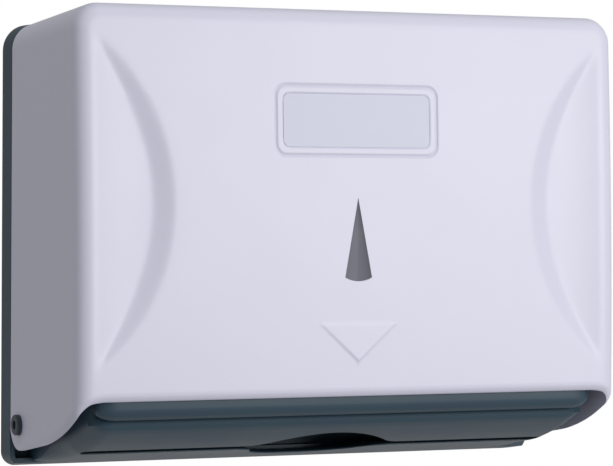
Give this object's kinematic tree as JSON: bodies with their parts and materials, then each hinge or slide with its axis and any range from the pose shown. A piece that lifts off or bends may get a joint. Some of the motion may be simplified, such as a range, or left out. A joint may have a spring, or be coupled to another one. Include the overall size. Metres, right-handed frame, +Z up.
{
  "type": "folded hand towel dispenser",
  "caption": "Wall-mounted cabinet for folded paper hand towels with a white drop-down cover, smoke level window, dark base and slotted outlet tray, locked by a key at the top.",
  "frame": {"origin": "centre of the pattern of four wall holes, on the plane of the wall", "axes": "+X to the right of someone facing the dispenser, -Y out of the wall towards the user, +Z up"},
  "size_m": [0.2716, 0.1007, 0.208],
  "materials": {
    "cover_plastic": "smooth satin-gloss moulded ABS, white with a faint cool tint",
    "dark_plastic": "fine matte moulded ABS, blue-black grey",
    "smoke_window": "smoke-tinted clear plastic, glossy",
    "label_plastic": "bare matte label plate, pale cool grey",
    "bush_plastic": "matte moulded acetal, dark grey",
    "pin_steel": "dull blackened steel",
    "lock_chrome": "bright chrome-plated zinc",
    "lock_brass": "plain turned brass",
    "keeper_steel": "zinc-plated sheet steel",
    "zinc_screw": "zinc-plated steel"
  },
  "bodies": {
    "base": {"back_plate": "dark_plastic", "outlet_tray": "dark_plastic", "tray_screw_1": "zinc_screw", "tray_screw_2": "zinc_screw", "tray_screw_3": "zinc_screw", "tray_screw_4": "zinc_screw", "hinge_pin_left": "pin_steel", "hinge_pin_right": "pin_steel", "keeper": "keeper_steel", "keeper_screw_1": "zinc_screw", "keeper_screw_2": "zinc_screw"},
    "cover": {"front_cover": "cover_plastic", "hinge_bush_left": "bush_plastic", "hinge_bush_right": "bush_plastic", "level_window": "smoke_window", "label_plate": "label_plastic", "lock_housing": "lock_chrome", "lock_nut": "lock_brass"},
    "lock": {"lock_barrel": "lock_chrome", "lock_cam": "keeper_steel", "cam_screw": "zinc_screw"}
  },
  "joints": [
    {"name": "cover_hinge", "type": "hinge", "parent": "base", "child": "cover", "pos_m": [0, -0.0244, -0.0896], "axis": [1, 0, 0], "range_deg": [0, 96]},
    {"name": "lock_turn", "type": "hinge", "parent": "cover", "child": "lock", "pos_m": [0, -0.034, 0.09372], "axis": [0, 0.0797, 0.9968], "range_deg": [0, 90]}
  ]
}
